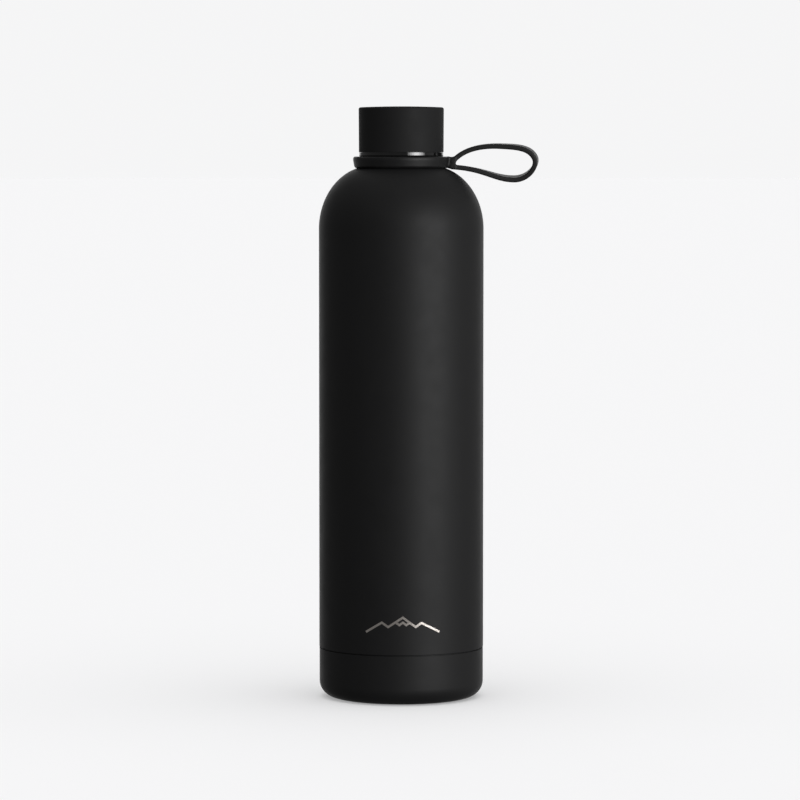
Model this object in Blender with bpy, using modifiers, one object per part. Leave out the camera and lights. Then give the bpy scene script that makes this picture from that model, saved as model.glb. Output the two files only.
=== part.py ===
"""Vacuum-insulated one-litre water bottle with a screw lid and a silicone carrying loop.

Units are metres, +Z up. The origin is the middle of the underside, on the bottle's axis, and the carrying
loop points along +X. Every turned piece is drawn as a section through the wall at +X, in millimetres.
"""

import math

import bmesh
import bpy
from mathutils import Vector
from mathutils.geometry import interpolate_bezier

MM = 0.001
GAP = 0.3

# Facets round a turn: the pieces seen from outside are finer than those inside.
OUTER_FACETS = 40
INNER_FACETS = 24
SMALL_FACETS = 20
SMOOTH_ANGLE = math.radians(35)

# Outer shell
BODY_RADIUS = 41.75
STEEL = 0.4
SEAM_TOP = 25.65
SEAM_BOTTOM = 25.15
SHELL_END = 8.6
SHELL_STEP_RADIUS = 40.6
SHOULDER_START = 238.2
SHOULDER_DEPTH = 26.9
SHOULDER_HEIGHT = 31.9
SHOULDER_TOP_ANGLE = 80
SHOULDER_STEPS = 9
COLLAR_RADIUS = 19.3
COLLAR_TOP = 274.4
COLLAR_FILLET = 1.0
COLLAR_FILLET_SWEEP = (180, 255)
COLLAR_LIFT = 0.1
NECK_RADIUS = 17.7
NECK_START = 276.0
NECK_TOP = 288.6

# Base cup
CUP_RADIUS = 41.5
CUP_WALL = 0.5
CUP_CORNER = 8.3
FOOT_GROOVE_RADIUS = 28.2
FOOT_GROOVE_HALF = 0.8
FOOT_GROOVE_DEPTH = 0.5

# Inner flask
FLASK_RADIUS = 38.0
FLASK_END = 14.0
FLASK_NECK_RADIUS = 16.9
FLASK_SHOULDER_STEPS = 6
# Where the flask's neck turns into its shoulder: distance out from the neck, height over the dome's top
FLASK_NECK_FOOT = ((0.0, 2.0), (0.5, 0.7))
FLASK_DOME_START = 1.0
LIP_RADIUS = 17.7
LIP_BOTTOM = 288.9
LIP_TOP = 290.3
FLOOR_HEIGHT = 14.0
FLOOR_RISE = 2.0
FLOOR_CORNER = 7.0
FLOOR_RIM_TOP = 24.0
# Dish of the floor: share of the radius, share of the rise
FLOOR_DISH = ((0.6, 0.6), (0.25, 0.95), (0.0, 1.0))

# Vacuum bottom plate, its seal, the getter and the foil
PLATE_HEIGHT = 3.8
PLATE_RIM_TOP = 14.0
PLATE_CORNER = 5.0
DIMPLE_RADIUS = 9.0
DIMPLE_HEIGHT = 2.2
DIMPLE_SLOPE = 1.5
EVACUATION_HOLE = 1.2
SEAL_RADIUS = 3.0
SEAL_DEPTH = 1.3
GETTER_X = 20.0
GETTER_RADIUS = 6.0
GETTER_HEIGHT = 2.2
GETTER_WALL = 0.4
GETTER_TAPER = 0.4
PELLET_RECESS = 0.1
PELLET_EDGE = 0.3
FOIL_RADIUS = 38.6
FOIL_THICKNESS = 0.1
FOIL_BOTTOM = 24.0
FOIL_TOP = 234.0
ADHESIVE_INNER = 31.0
ADHESIVE_OUTER = 34.2
ADHESIVE_FLAT = 0.6

# Two-start right-hand thread
THREAD_LEAD = 8.0
THREAD_STARTS = 2
THREAD_DEPTH = 1.2
THREAD_TURNS = 1.0
THREAD_BOTTOM = 278.0
RIDGE_HALF_ROOT = 0.7
RIDGE_HALF_CREST = 0.35
RIDGE_BURIED = 0.25
RIDGE_END = 0.1
RIDGE_STEPS = 30
RIDGE_FADE = 0.12

# Lid
LID_TOP = 300.0
LID_CROWN = 0.5
LID_CROWN_SHARE = 0.6
LID_EDGE = 1.0
LID_TOP_RADIUS = 21.58
LID_RIM_RADIUS = 21.44
LID_RIM = 277.4
COVER_WALL = 0.6
BAND_RADIUS = 20.95
BAND_BOTTOM = 275.3
BAND_TOP = 277.1
CORE_RADIUS = 20.5
CORE_BORE = 19.2
CORE_ROOF = 292.6
CORE_ROOF_THICKNESS = 1.5
CORE_TOP = 298.3
CORE_POCKET = 19.1
RIB_INNER = 14.9
RIB_OUTER = 15.6
RIB_BOTTOM = 290.9
GASKET_INNER = 15.9
GASKET_OUTER = 18.6
GASKET_EDGE = 0.4
INSULATION_TOP = 298.0
INSULATION_EDGE = 0.6
# A point of the axis about which the lid screws
LID_AXIS = (0.0, 285.0)

# Strap ring
RING_BORE = 19.6
RING_RADIUS = 24.4
RING_TOP = 274.9
RING_BOTTOM = 268.95
RING_TOP_ROUND = 1.1
RING_BORE_EDGE = 0.4
# Foot of the ring's section: distance in from the outside, or out from the bore, and height over the bottom
RING_FOOT_OUTSIDE = ((0.0, 4.15), (0.6, 0.9), (1.4, 0.0))
RING_FOOT_INSIDE = ((1.2, 0.85), (0.0, 2.2))
STRAP_AXIS = (0.0, 272.0)

# Carrying loop, as distances from the bottle's axis (x) and heights (z)
LOOP_PIVOT = (27.6, 272.0)
LOOP_BAND = 2.46
LOOP_WIDTH = 10.0
LOOP_ROOT_RADIUS = 2.9
LOOP_ROOT_SWEEP = (245, 115)
LOOP_EDGE = 0.45
LOOP_STEPS = 9
# Middle line of the band: x, z, direction in degrees, handle before, handle after
LOOP_KNOTS = (
    (27.6, 274.1, 42.0, 0.0, 6.8),
    (49.8, 280.2, -2.0, 8.6, 8.8),
    (67.6, 274.7, -62.0, 5.8, 4.4),
    (57.8, 263.7, -181.0, 7.7, 9.7),
    (29.4, 269.5, -186.0, 13.9, 0.0),
)
LOOP_APEX_HANDLES = (1.7, 2.4)


def clear_scene():
    for obj in list(bpy.data.objects):
        bpy.data.objects.remove(obj, do_unlink=True)


def new_collection(name):
    collection = bpy.data.collections.new(name)
    bpy.context.scene.collection.children.link(collection)
    return collection


def new_material(name, color, roughness, metallic=0.0):
    material = bpy.data.materials.new(name)
    material.use_nodes = True
    shader = material.node_tree.nodes["Principled BSDF"]
    shader.inputs["Base Color"].default_value = (*color, 1.0)
    shader.inputs["Roughness"].default_value = roughness
    shader.inputs["Metallic"].default_value = metallic
    material.diffuse_color = (*color, 1.0)
    return material


def arc(centre, radii, start, end, steps):
    """Points along an elliptical arc from start to end, in degrees, with 0 outwards and 90 upwards."""
    points = []
    for i in range(steps + 1):
        angle = math.radians(start + (end - start) * i / steps)
        points.append((centre[0] + radii[0] * math.cos(angle), centre[1] + radii[1] * math.sin(angle)))
    return points


def parallel(path, distance):
    """The path moved sideways by the distance, to its right as it runs, with mitred corners."""
    moved = []
    last = len(path) - 1
    for i, point in enumerate(path):
        here = Vector(point)
        before = here - Vector(path[i - 1]) if i > 0 else Vector(path[1]) - here
        after = Vector(path[i + 1]) - here if i < last else here - Vector(path[i - 1])
        normals = [Vector((side.y, -side.x)).normalized() for side in (before, after)]
        mitre = (normals[0] + normals[1]).normalized()
        moved.append(tuple(here + mitre * (distance / mitre.dot(normals[0]))))
    return moved


def wall_section(path, thickness):
    """Closed section of a sheet whose outer face is the path, running down."""
    return path + parallel(path, thickness)[::-1]


def cup_section(path, thickness):
    """Open section of a cup: the path runs down its outer side and ends on the axis."""
    inner = parallel(path, thickness)
    inner[-1] = (0.0, path[-1][1] + thickness)
    return inner[::-1] + path


def cap_section(path, thickness):
    """Open section of a cap: the path starts on the axis and runs down its outer side."""
    inner = parallel(path, thickness)
    inner[0] = (0.0, path[0][1] - thickness)
    return path + inner[::-1]


def shade(mesh):
    mesh.shade_smooth()
    mesh.set_sharp_from_angle(angle=SMOOTH_ANGLE)


def settled(obj):
    """Replaces the object's modifiers by their result, and shades it."""
    bpy.context.view_layer.update()
    graph = bpy.context.evaluated_depsgraph_get()
    mesh = bpy.data.meshes.new_from_object(obj.evaluated_get(graph))
    obj.modifiers.clear()
    obj.data = mesh
    shade(mesh)
    return obj


def turned(name, section, material, collection, facets, closed=True, centre=(0.0, 0.0)):
    """A solid of revolution about a vertical line through the centre."""
    count = len(section)
    edges = [(i, i + 1) for i in range(count - 1)]
    if closed:
        edges.append((count - 1, 0))
    mesh = bpy.data.meshes.new(name)
    mesh.from_pydata([(r * MM, 0.0, z * MM) for r, z in section], edges, [])
    mesh.materials.append(material)
    obj = bpy.data.objects.new(name, mesh)
    obj.location = (centre[0] * MM, centre[1] * MM, 0.0)
    collection.objects.link(obj)
    screw = obj.modifiers.new("Turn", "SCREW")
    screw.steps = facets
    screw.render_steps = facets
    screw.use_merge_vertices = True
    screw.merge_threshold = 1e-6
    return settled(obj)


def thread_ridge(name, wall_radius, towards_crest, bottom, start_angle, helpers):
    """A helical ridge that grows out of a wall and fades back into it at both ends."""
    root = wall_radius - towards_crest * RIDGE_BURIED
    mesh_builder = bmesh.new()
    sections = []
    for i in range(RIDGE_STEPS + 1):
        share = i / RIDGE_STEPS
        angle = math.radians(start_angle + 360 * THREAD_TURNS * share)
        height = bottom + THREAD_LEAD * THREAD_TURNS * share
        fade = min(1.0, share / RIDGE_FADE, (1 - share) / RIDGE_FADE)
        crest = root + towards_crest * (RIDGE_END + (RIDGE_BURIED + THREAD_DEPTH - RIDGE_END) * fade)
        corners = (
            (root, height - RIDGE_HALF_ROOT),
            (crest, height - RIDGE_HALF_CREST),
            (crest, height + RIDGE_HALF_CREST),
            (root, height + RIDGE_HALF_ROOT),
        )
        ring = []
        for radius, z in corners:
            point = Vector((radius * math.cos(angle), radius * math.sin(angle), z)) * MM
            ring.append(mesh_builder.verts.new(point))
        sections.append(ring)
    for lower, upper in zip(sections, sections[1:]):
        for i in range(4):
            j = (i + 1) % 4
            mesh_builder.faces.new((lower[i], lower[j], upper[j], upper[i]))
    mesh_builder.faces.new(sections[0])
    mesh_builder.faces.new(sections[-1])
    bmesh.ops.recalc_face_normals(mesh_builder, faces=mesh_builder.faces)
    mesh = bpy.data.meshes.new(name)
    mesh_builder.to_mesh(mesh)
    mesh_builder.free()
    obj = bpy.data.objects.new(name, mesh)
    obj.hide_render = True
    obj.display_type = "WIRE"
    helpers.objects.link(obj)
    return obj


def add_thread(obj, wall_radius, towards_crest, bottom, helpers):
    for start in range(THREAD_STARTS):
        start_angle = 360 * start / THREAD_STARTS
        ridge = thread_ridge(
            f"{obj.name}_ridge_{start}", wall_radius, towards_crest, bottom, start_angle, helpers
        )
        join = obj.modifiers.new(f"Ridge {start}", "BOOLEAN")
        join.operation = "UNION"
        join.object = ridge
    settled(obj)


def shoulder(inset, steps):
    """Quarter ellipse of the shoulder, from the top of the dome down to the straight wall."""
    centre = (BODY_RADIUS - SHOULDER_DEPTH, SHOULDER_START)
    radii = (SHOULDER_DEPTH - inset, SHOULDER_HEIGHT - inset)
    return arc(centre, radii, SHOULDER_TOP_ANGLE, 0, steps)


def make_outer_shell(material, parts, helpers):
    path = [
        (NECK_RADIUS, NECK_TOP),
        (NECK_RADIUS, NECK_START),
        (COLLAR_RADIUS, COLLAR_TOP),
    ]
    dome = shoulder(0.0, SHOULDER_STEPS)
    fillet_centre = (COLLAR_RADIUS + COLLAR_FILLET, dome[0][1] + COLLAR_FILLET + COLLAR_LIFT)
    path += arc(fillet_centre, (COLLAR_FILLET, COLLAR_FILLET), *COLLAR_FILLET_SWEEP, 3)
    path += [point for point in dome if point[0] > fillet_centre[0]]
    path += [
        (BODY_RADIUS, SEAM_TOP + GAP),
        (BODY_RADIUS - GAP, SEAM_TOP),
        (SHELL_STEP_RADIUS, SEAM_TOP),
        (SHELL_STEP_RADIUS, SHELL_END),
    ]
    shell = turned("outer_shell", wall_section(path, STEEL), material, parts, OUTER_FACETS)
    add_thread(shell, NECK_RADIUS, 1, THREAD_BOTTOM, helpers)
    return shell


def make_base_cup(material, parts):
    corner_centre = (CUP_RADIUS - CUP_CORNER, CUP_CORNER)
    path = [(CUP_RADIUS, SEAM_BOTTOM)]
    path += arc(corner_centre, (CUP_CORNER, CUP_CORNER), 0, -90, 7)
    path += [
        (FOOT_GROOVE_RADIUS + FOOT_GROOVE_HALF, 0.0),
        (FOOT_GROOVE_RADIUS, FOOT_GROOVE_DEPTH),
        (FOOT_GROOVE_RADIUS - FOOT_GROOVE_HALF, 0.0),
        (0.0, 0.0),
    ]
    return turned("base_cup", cup_section(path, CUP_WALL), material, parts, OUTER_FACETS, closed=False)


def make_inner_flask(material, parts):
    inset = BODY_RADIUS - FLASK_RADIUS
    lip_middle = (FLASK_NECK_RADIUS - STEEL + LIP_RADIUS) / 2
    lip_half = (LIP_RADIUS - lip_middle, (LIP_TOP - LIP_BOTTOM) / 2)
    lip = arc((lip_middle, LIP_BOTTOM + lip_half[1]), lip_half, 180, -60, 8)
    dome = shoulder(inset, FLASK_SHOULDER_STEPS)
    outside = [(FLASK_NECK_RADIUS, LIP_BOTTOM)]
    outside += [(FLASK_NECK_RADIUS + out, dome[0][1] + over) for out, over in FLASK_NECK_FOOT]
    outside += [point for point in dome if point[0] > FLASK_NECK_RADIUS + FLASK_DOME_START]
    outside += [(FLASK_RADIUS, FLASK_END)]
    inside = parallel(outside, STEEL)[1:]
    return turned("inner_flask", lip + outside + inside[::-1], material, parts, INNER_FACETS)


def make_inner_flask_base(material, parts):
    radius = FLASK_RADIUS - STEEL - GAP
    under = FLOOR_HEIGHT - STEEL
    corner_centre = (radius - FLOOR_CORNER, under + FLOOR_CORNER)
    path = [(radius, FLOOR_RIM_TOP)]
    path += arc(corner_centre, (FLOOR_CORNER, FLOOR_CORNER), 0, -90, 5)
    path += [(corner_centre[0] * out, under + FLOOR_RISE * up) for out, up in FLOOR_DISH]
    return turned(
        "inner_flask_base", cup_section(path, STEEL), material, parts, INNER_FACETS, closed=False
    )


def make_vacuum_base(material, parts):
    radius = SHELL_STEP_RADIUS - STEEL - GAP
    under = PLATE_HEIGHT - STEEL
    path = [(radius, PLATE_RIM_TOP)]
    path += arc((radius - PLATE_CORNER, under + PLATE_CORNER), (PLATE_CORNER, PLATE_CORNER), 0, -90, 4)
    path += [
        (DIMPLE_RADIUS + DIMPLE_SLOPE, under),
        (DIMPLE_RADIUS, under + DIMPLE_HEIGHT),
        (EVACUATION_HOLE, under + DIMPLE_HEIGHT),
    ]
    return turned("vacuum_base", wall_section(path, STEEL), material, parts, INNER_FACETS)


def make_vacuum_seal(material, parts):
    stem = EVACUATION_HOLE - GAP
    top = PLATE_HEIGHT - STEEL + DIMPLE_HEIGHT - GAP
    section = [(0.0, top + STEEL + 2 * GAP), (stem, top + STEEL + 2 * GAP), (stem, top)]
    section += arc((0.0, top), (SEAL_RADIUS, SEAL_DEPTH), 0, -90, 4)[:-1]
    section += [(0.0, top - SEAL_DEPTH)]
    return turned("vacuum_seal", section, material, parts, SMALL_FACETS, closed=False)


def make_getter(holder_material, pellet_material, parts):
    bottom = PLATE_HEIGHT + GAP
    path = [
        (GETTER_RADIUS, bottom + GETTER_HEIGHT),
        (GETTER_RADIUS - GETTER_TAPER, bottom),
        (0.0, bottom),
    ]
    section = cup_section(path, GETTER_WALL)
    centre = (GETTER_X, 0.0)
    holder = turned("getter_holder", section, holder_material, parts, SMALL_FACETS, False, centre)
    radius = GETTER_RADIUS - GETTER_WALL - GETTER_TAPER - GAP
    low = bottom + GETTER_WALL + GAP
    high = bottom + GETTER_HEIGHT - PELLET_RECESS
    section = [(0.0, high), (radius - PELLET_EDGE, high), (radius, high - PELLET_EDGE)]
    section += [(radius, low), (0.0, low)]
    pellet = turned("getter_pellet", section, pellet_material, parts, SMALL_FACETS, False, centre)
    return [holder, pellet]


def make_reflector_foil(material, parts):
    path = [(FOIL_RADIUS, FOIL_TOP), (FOIL_RADIUS, FOIL_BOTTOM)]
    return turned("reflector_foil", wall_section(path, FOIL_THICKNESS), material, parts, INNER_FACETS)


def make_base_adhesive(material, parts):
    low = CUP_WALL + GAP
    high = PLATE_HEIGHT - STEEL - GAP
    middle = (ADHESIVE_INNER + ADHESIVE_OUTER) / 2
    flat = (ADHESIVE_OUTER - ADHESIVE_INNER) / 2 * ADHESIVE_FLAT
    section = [
        (middle + flat, high),
        (ADHESIVE_OUTER, (low + high) / 2),
        (middle + flat, low),
        (middle - flat, low),
        (ADHESIVE_INNER, (low + high) / 2),
        (middle - flat, high),
    ]
    return turned("base_adhesive", section, material, parts, INNER_FACETS)


def make_lid_cover(material, parts):
    edge_top = LID_TOP - LID_CROWN
    edge_centre = (LID_TOP_RADIUS - LID_EDGE, edge_top - LID_EDGE)
    path = [(0.0, LID_TOP), (edge_centre[0] * LID_CROWN_SHARE, LID_TOP - LID_CROWN * LID_CROWN_SHARE**2)]
    path += arc(edge_centre, (LID_EDGE, LID_EDGE), 90, 0, 4)
    path += [(LID_RIM_RADIUS, LID_RIM)]
    cover = cap_section(path, COVER_WALL)
    return turned("lid_cover", cover, material, parts, OUTER_FACETS, closed=False)


def make_lid_core(material, parts, helpers):
    roof_top = CORE_ROOF + CORE_ROOF_THICKNESS
    section = [
        (0.0, roof_top),
        (CORE_POCKET, roof_top),
        (CORE_POCKET, CORE_TOP),
        (CORE_RADIUS, CORE_TOP),
        (CORE_RADIUS, BAND_TOP),
        (BAND_RADIUS - GAP, BAND_TOP),
        (BAND_RADIUS, BAND_TOP - GAP),
        (BAND_RADIUS, BAND_BOTTOM + GAP),
        (BAND_RADIUS - GAP, BAND_BOTTOM),
        (CORE_BORE, BAND_BOTTOM),
        (CORE_BORE, CORE_ROOF),
        (RIB_OUTER, CORE_ROOF),
        (RIB_OUTER, RIB_BOTTOM),
        (RIB_INNER, RIB_BOTTOM),
        (RIB_INNER, CORE_ROOF),
        (0.0, CORE_ROOF),
    ]
    core = turned("lid_core", section, material, parts, OUTER_FACETS, closed=False)
    # Half a pitch above the neck's ridges, so that the two threads mesh.
    half_pitch = THREAD_LEAD / THREAD_STARTS / 2
    add_thread(core, CORE_BORE, -1, THREAD_BOTTOM + half_pitch, helpers)
    return core


def make_lid_insulation(material, parts):
    low = CORE_ROOF + CORE_ROOF_THICKNESS + GAP
    radius = CORE_POCKET - GAP
    section = [
        (0.0, INSULATION_TOP),
        (radius - INSULATION_EDGE, INSULATION_TOP),
        (radius, INSULATION_TOP - INSULATION_EDGE),
        (radius, low),
        (0.0, low),
    ]
    return turned("lid_insulation", section, material, parts, INNER_FACETS, closed=False)


def make_lid_gasket(material, parts):
    low = LIP_TOP + GAP
    high = CORE_ROOF - GAP
    section = [
        (GASKET_OUTER - GASKET_EDGE, high),
        (GASKET_OUTER, high - GASKET_EDGE),
        (GASKET_OUTER, low + GASKET_EDGE),
        (GASKET_OUTER - GASKET_EDGE, low),
        (GASKET_INNER + GASKET_EDGE, low),
        (GASKET_INNER, low + GASKET_EDGE),
        (GASKET_INNER, high - GASKET_EDGE),
        (GASKET_INNER + GASKET_EDGE, high),
    ]
    return turned("lid_gasket", section, material, parts, INNER_FACETS)


def make_strap_ring(material, parts):
    round_centre = (RING_RADIUS - RING_TOP_ROUND, RING_TOP - RING_TOP_ROUND)
    section = arc(round_centre, (RING_TOP_ROUND, RING_TOP_ROUND), 90, 0, 3)
    section += [(RING_RADIUS - inwards, RING_BOTTOM + up) for inwards, up in RING_FOOT_OUTSIDE]
    section += [(RING_BORE + outwards, RING_BOTTOM + up) for outwards, up in RING_FOOT_INSIDE]
    section += [(RING_BORE, RING_TOP - RING_BORE_EDGE), (RING_BORE + RING_BORE_EDGE, RING_TOP)]
    return turned("strap_ring", section, material, parts, OUTER_FACETS)


def heading(degrees):
    return Vector((math.cos(math.radians(degrees)), math.sin(math.radians(degrees)), 0.0))


def loop_middle_line():
    """Points along the middle of the band from its upper root round to its lower root, with directions."""
    points = []
    for first, second in zip(LOOP_KNOTS, LOOP_KNOTS[1:]):
        start = Vector((first[0], first[1], 0.0))
        end = Vector((second[0], second[1], 0.0))
        handles = (start + heading(first[2]) * first[4], end - heading(second[2]) * second[3])
        stretch = interpolate_bezier(start, *handles, end, LOOP_STEPS + 1)
        points += [(point.x, point.y) for point in stretch[:-1]]
    points.append(LOOP_KNOTS[-1][:2])
    return points


def loop_outlines():
    """The band's outer and inner outline. A rounded root closes the outer one, a soft corner the inner."""
    middle = loop_middle_line()
    outer = parallel(middle, -LOOP_BAND / 2)
    inner = parallel(middle, LOOP_BAND / 2)
    root = arc(LOOP_PIVOT, (LOOP_ROOT_RADIUS, LOOP_ROOT_RADIUS), *LOOP_ROOT_SWEEP, 8)
    corner = []
    start = Vector((*inner[-1], 0.0))
    end = Vector((*inner[0], 0.0))
    arriving = heading(LOOP_KNOTS[-1][2]) * LOOP_APEX_HANDLES[1]
    leaving = heading(LOOP_KNOTS[0][2]) * LOOP_APEX_HANDLES[0]
    for point in interpolate_bezier(start, start + arriving, end - leaving, end, 8)[1:-1]:
        corner.append((point.x, point.y))
    return outer + root, inner + corner


def make_strap_loop(material, parts):
    """A flat outline with a hole, extruded across the bottle and bevelled; its origin is its root."""
    curve = bpy.data.curves.new("strap_loop", "CURVE")
    curve.dimensions = "2D"
    curve.fill_mode = "BOTH"
    curve.extrude = LOOP_WIDTH / 2 * MM
    for outline in loop_outlines():
        spline = curve.splines.new("POLY")
        spline.points.add(len(outline) - 1)
        spline.use_cyclic_u = True
        for point, (x, z) in zip(spline.points, outline):
            point.co = ((x - LOOP_PIVOT[0]) * MM, (z - LOOP_PIVOT[1]) * MM, 0.0, 1.0)
    guide = bpy.data.objects.new("loop_outline", curve)
    bpy.context.scene.collection.objects.link(guide)
    guide.location = (LOOP_PIVOT[0] * MM, 0.0, LOOP_PIVOT[1] * MM)
    guide.rotation_euler = (math.radians(90), 0.0, 0.0)
    bpy.context.view_layer.update()
    graph = bpy.context.evaluated_depsgraph_get()
    mesh = bpy.data.meshes.new_from_object(guide.evaluated_get(graph))
    builder = bmesh.new()
    builder.from_mesh(mesh)
    bmesh.ops.remove_doubles(builder, verts=builder.verts, dist=1e-6)
    bmesh.ops.recalc_face_normals(builder, faces=builder.faces)
    builder.to_mesh(mesh)
    builder.free()
    mesh.materials.clear()
    mesh.materials.append(material)
    loop = bpy.data.objects.new("strap_loop", mesh)
    parts.objects.link(loop)
    loop.matrix_world = guide.matrix_world
    bpy.data.objects.remove(guide, do_unlink=True)
    bevel = loop.modifiers.new("Soft edges", "BEVEL")
    bevel.width = LOOP_EDGE * MM
    bevel.segments = 1
    bevel.limit_method = "ANGLE"
    bevel.angle_limit = math.radians(60)
    return settled(loop)


def pivot(name, place, pieces, collection):
    """An empty at the (x, z) place, which carries the pieces where they are."""
    empty = bpy.data.objects.new(name, None)
    empty.location = (place[0] * MM, 0.0, place[1] * MM)
    empty.empty_display_size = 10 * MM
    collection.objects.link(empty)
    bpy.context.view_layer.update()
    for piece in pieces:
        piece.parent = empty
        piece.matrix_parent_inverse = empty.matrix_world.inverted()
    return empty


def main():
    clear_scene()
    parts = new_collection("water_bottle")
    helpers = new_collection("helpers")
    powder_coat = new_material("powder_coat", (0.012, 0.012, 0.013), 0.55)
    steel = new_material("brushed_steel", (0.56, 0.56, 0.55), 0.3, 1.0)
    pressed_steel = new_material("pressed_steel", (0.42, 0.42, 0.42), 0.45, 1.0)
    foil = new_material("aluminium_foil", (0.78, 0.78, 0.79), 0.25, 1.0)
    getter = new_material("getter_alloy", (0.2, 0.2, 0.21), 0.6, 1.0)
    glass_seal = new_material("solder_glass", (0.1, 0.11, 0.1), 0.2)
    adhesive = new_material("adhesive", (0.5, 0.48, 0.4), 0.6)
    gloss_black = new_material("gloss_black_plastic", (0.006, 0.006, 0.006), 0.12)
    silicone = new_material("black_silicone", (0.02, 0.02, 0.02), 0.6)
    clear_silicone = new_material("gasket_silicone", (0.6, 0.6, 0.58), 0.5)
    foam = new_material("white_foam", (0.8, 0.8, 0.78), 0.9)

    bottle = [
        make_outer_shell(powder_coat, parts, helpers),
        make_base_cup(powder_coat, parts),
        make_inner_flask(steel, parts),
        make_inner_flask_base(steel, parts),
        make_vacuum_base(pressed_steel, parts),
        make_vacuum_seal(glass_seal, parts),
        *make_getter(pressed_steel, getter, parts),
        make_reflector_foil(foil, parts),
        make_base_adhesive(adhesive, parts),
    ]
    lid = [
        make_lid_cover(powder_coat, parts),
        make_lid_core(gloss_black, parts, helpers),
        make_lid_insulation(foam, parts),
        make_lid_gasket(clear_silicone, parts),
    ]
    pivot("bottle", (0.0, 0.0), bottle, parts)
    pivot("lid", LID_AXIS, lid, parts)
    loop = pivot("loop", LOOP_PIVOT, [make_strap_loop(silicone, parts)], parts)
    pivot("strap", STRAP_AXIS, [make_strap_ring(silicone, parts), loop], parts)


main()
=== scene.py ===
"""Looks of the insulated water bottle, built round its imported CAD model.

Lengths are in millimetres until a mesh is made, and the frame is the CAD's: +Z up, the origin in
the middle of the underside, the carrying loop towards +X. Turned pieces are drawn as a section
at +X. The studio's own lengths are in metres.
"""

import math

import bmesh
import bpy
import numpy as np
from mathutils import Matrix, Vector
from mathutils.geometry import interpolate_bezier
from mathutils.kdtree import KDTree


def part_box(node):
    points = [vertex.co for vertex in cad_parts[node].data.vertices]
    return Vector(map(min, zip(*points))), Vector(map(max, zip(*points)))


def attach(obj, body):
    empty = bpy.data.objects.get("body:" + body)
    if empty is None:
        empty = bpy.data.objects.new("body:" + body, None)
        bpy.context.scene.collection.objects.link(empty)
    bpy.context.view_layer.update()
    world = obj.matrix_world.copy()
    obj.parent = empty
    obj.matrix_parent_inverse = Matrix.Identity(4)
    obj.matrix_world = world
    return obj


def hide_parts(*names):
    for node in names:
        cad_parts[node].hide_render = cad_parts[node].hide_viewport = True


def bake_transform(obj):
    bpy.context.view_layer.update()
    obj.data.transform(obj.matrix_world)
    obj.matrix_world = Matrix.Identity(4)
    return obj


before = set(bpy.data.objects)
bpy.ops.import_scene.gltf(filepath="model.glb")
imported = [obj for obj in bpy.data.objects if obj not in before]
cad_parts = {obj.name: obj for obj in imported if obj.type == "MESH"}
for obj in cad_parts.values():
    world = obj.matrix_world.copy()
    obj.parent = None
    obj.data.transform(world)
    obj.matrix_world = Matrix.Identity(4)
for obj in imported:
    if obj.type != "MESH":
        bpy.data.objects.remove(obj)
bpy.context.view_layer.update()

MM = 0.001

# Fineness of turned pieces
SEGMENTS = 192
ARC_STEP = 12.0
LONGEST_ROW = 4.0
SHARP_ANGLE = math.radians(50)


def reach(node):
    """Radius, lowest and highest point of a turned CAD node, in millimetres."""
    low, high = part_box(node)
    return high.x / MM, low.z / MM, high.z / MM


BODY_RADIUS, SHELL_END, NECK_TOP = reach("outer_shell")
CUP_RADIUS, CUP_BOTTOM, CUP_TOP = reach("base_cup")
FLASK_RADIUS, FLASK_END, LIP_TOP = reach("inner_flask")
FLOOR_RADIUS, FLOOR_BOTTOM, FLOOR_RIM_TOP = reach("inner_flask_base")
LID_RADIUS, LID_RIM, LID_TOP = reach("lid_cover")
BAND_RADIUS, BAND_BOTTOM, CORE_TOP = reach("lid_core")
GASKET_RADIUS, GASKET_BOTTOM, GASKET_TOP = reach("lid_gasket")
RING_RADIUS, RING_BOTTOM, RING_TOP = reach("strap_ring")
# The ring rests a little lower than its CAD node, which keeps its distance from the shoulder.
RING_SINK = 0.22
RING_BOTTOM -= RING_SINK
RING_TOP -= RING_SINK

# Outer shell
STEEL = 0.4
SEAM_TOP = CUP_TOP + 0.5
SEAM_EDGE = 0.25
SHELL_STEP_RADIUS = 40.6
SHOULDER_START = 238.2
SHOULDER_DEPTH = 26.9
SHOULDER_HEIGHT = 31.9
SHOULDER_STEPS = 40
COLLAR_RADIUS = 19.3
COLLAR_TOP = 274.4
COLLAR_EDGE = 0.6
COLLAR_FILLET = 1.0
# The fillet lies this much above the dome's first point, and the dome takes over this far beyond
# the fillet's middle.
COLLAR_FILLET_RISE = 0.1
DOME_MARGIN = 0.2
NECK_RADIUS = 17.7
NECK_START = 276.0
NECK_CORNER = 0.6
COAT_END = 275.0

# Base cup
CUP_WALL = 0.5
CUP_SWELL = 0.15
CUP_EDGE = 0.15
CUP_CORNER = 8.3
FOOT_GROOVE_RADIUS = 28.2
FOOT_GROOVE_HALF = 0.9
FOOT_GROOVE_DEPTH = 0.4
FOOT_GROOVE_EDGE = 0.3

# Inner flask
FLASK_NECK_RADIUS = 16.9
FLASK_NECK_FILLET = 1.0
FLASK_NECK_RISE = 1.2
LIP_RADIUS = 17.7
LIP_BOTTOM = 288.9
FLOOR_CORNER = 7.0
FLOOR_RISE = 2.0
# Where the floor's slope steepens, as shares of its radius and rise, and the rounding there
FLOOR_BREAK = (0.55, 0.7, 60.0)

# Two-start right-hand thread
THREAD_LEAD = 8.0
THREAD_STARTS = 2
THREAD_DEPTH = 1.2
THREAD_BOTTOM = 278.0
THREAD_HALF_ROOT = 0.75
THREAD_HALF_CREST = 0.3
THREAD_FADE = 0.12
THREAD_ROW = 0.16
# Points this near the threaded wall's radius belong to it.
WALL_TOLERANCE = 0.01

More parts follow.
